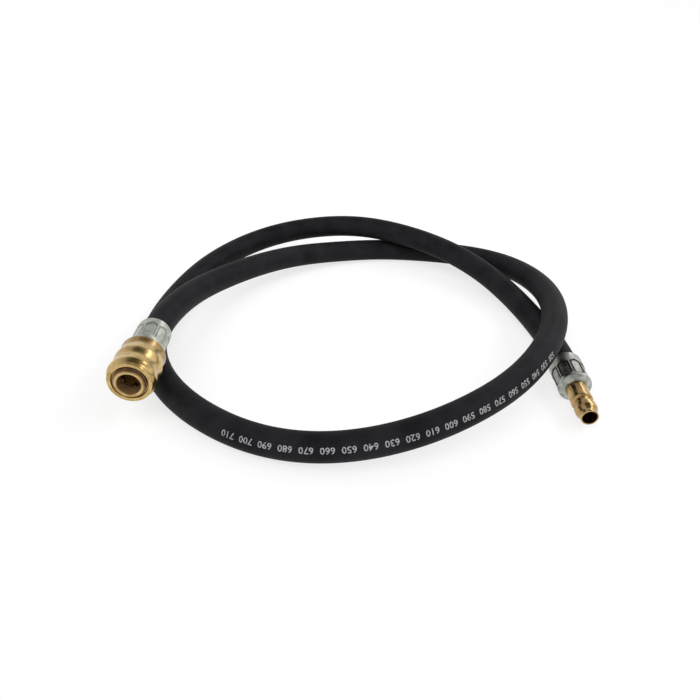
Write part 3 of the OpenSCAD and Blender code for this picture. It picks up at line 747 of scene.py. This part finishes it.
def seen(nt):
    """1 for rays that show the surroundings: straight, mirrored or through something."""
    path = node(nt, "ShaderNodeLightPath")
    total = path.outputs["Is Camera Ray"]
    for name in ("Is Glossy Ray", "Is Transmission Ray"):
        add = node(nt, "ShaderNodeMath", operation="ADD", use_clamp=True)
        nt.links.new(total, add.inputs[0])
        nt.links.new(path.outputs[name], add.inputs[1])
        total = add.outputs[0]
    return total


def make_floor():
    mesh = bpy.data.meshes.new("floor")
    half = FLOOR_HALF
    mesh.from_pydata([(-half, -half, 0), (half, -half, 0), (half, half, 0), (-half, half, 0)],
                     [], [(0, 1, 2, 3)])
    floor = bpy.data.objects.new("floor", mesh)
    bpy.context.collection.objects.link(floor)
    mat, nt, bsdf = new_material("floor")
    bsdf.inputs["Base Color"].default_value = (FLOOR_COLOUR, FLOOR_COLOUR, FLOOR_COLOUR, 1)
    bsdf.inputs["Roughness"].default_value = 1.0
    bsdf.inputs["Specular IOR Level"].default_value = 0.0
    white = node(nt, "ShaderNodeEmission")
    share = node(nt, "ShaderNodeMath", operation="MULTIPLY")
    share.inputs[1].default_value = FLOOR_WHITE
    nt.links.new(seen(nt), share.inputs[0])
    mix_shaders(nt, share.outputs[0], bsdf, white, "Material Output")
    floor.data.materials.append(mat)
    floor.location.z = -FLOOR_DROP


def make_world():
    """Even light for matt surfaces, and a room for what shows or is mirrored."""
    world = bpy.data.worlds.new("world")
    bpy.context.scene.world = world
    world.use_nodes = True
    nt = world.node_tree
    light = nt.nodes["Background"]
    light.inputs["Color"].default_value = (1, 1, 1, 1)
    light.inputs["Strength"].default_value = WORLD_LIGHT
    coord = node(nt, "ShaderNodeTexCoord")
    split = node(nt, "ShaderNodeSeparateXYZ")
    nt.links.new(coord.outputs["Generated"], split.inputs[0])
    turn = node(nt, "ShaderNodeMath", operation="ARCTAN2")
    nt.links.new(split.outputs["X"], turn.inputs[0])
    nt.links.new(split.outputs["Z"], turn.inputs[1])
    share = node(nt, "ShaderNodeMapRange", in_From_Min=-math.pi / 2, in_From_Max=math.pi / 2)
    nt.links.new(turn.outputs[0], share.inputs["Value"])
    both = node(nt, "ShaderNodeMix", data_type="RGBA", blend_type="LIGHTEN")
    both.inputs[MIX_FACTOR].default_value = 1.0
    nt.links.new(ramp(nt, split.outputs["Z"], ROOM), both.inputs[MIX_A])
    nt.links.new(grey_ramp(nt, share.outputs["Result"], BESIDE), both.inputs[MIX_B])
    shown = node(nt, "ShaderNodeBackground", in_Strength=1.0)
    nt.links.new(both.outputs[MIX_RESULT], shown.inputs["Color"])
    mix_shaders(nt, seen(nt), light, shown, "World Output")


def make_lamps():
    """Two wide suns light the floor evenly; a long strip on the right puts streaks on metal."""
    for name, place, strength, angle in SUNS:
        sun = bpy.data.lights.new(name, "SUN")
        sun.energy, sun.angle = strength, math.radians(angle)
        lamp = bpy.data.objects.new(name, sun)
        lamp.visible_glossy = False
        lamp.location = place
        lamp.rotation_mode = "QUATERNION"
        way = Vector(SUN_TARGET) - Vector(place)
        lamp.rotation_quaternion = way.to_track_quat("-Z", "Y")
        bpy.context.collection.objects.link(lamp)
    strip = bpy.data.lights.new("strip", "AREA")
    strip.shape, strip.energy = "RECTANGLE", STRIP_POWER
    strip.size, strip.size_y = STRIP_WIDTH, STRIP_LENGTH
    lamp = bpy.data.objects.new("strip", strip)
    lamp.location, lamp.rotation_euler = STRIP_PLACE, (0, math.radians(STRIP_TILT), 0)
    lamp.visible_camera = False
    bpy.context.collection.objects.link(lamp)


make_camera()
make_hose()
make_print()
make_sleeve()
make_plug()
# The last figure is the share of grime and painted shade: a little on the coupling's ferrule, all
# on the plug's.
make_ferrule("socket_ferrule", SOCKET_FERRULE, SOCKET, 0, ZINC, 0.3)
make_ferrule("plug_ferrule", PLUG_FERRULE, PLUG, CONE_LEN, SHADED_ZINC, 1.0)
dress_solids()
make_spring("sleeve_spring", "sleeve_carrier")
make_spring("valve_spring", ROOT)
make_floor()
make_world()
make_lamps()
bpy.context.scene.view_settings.view_transform = "Standard"
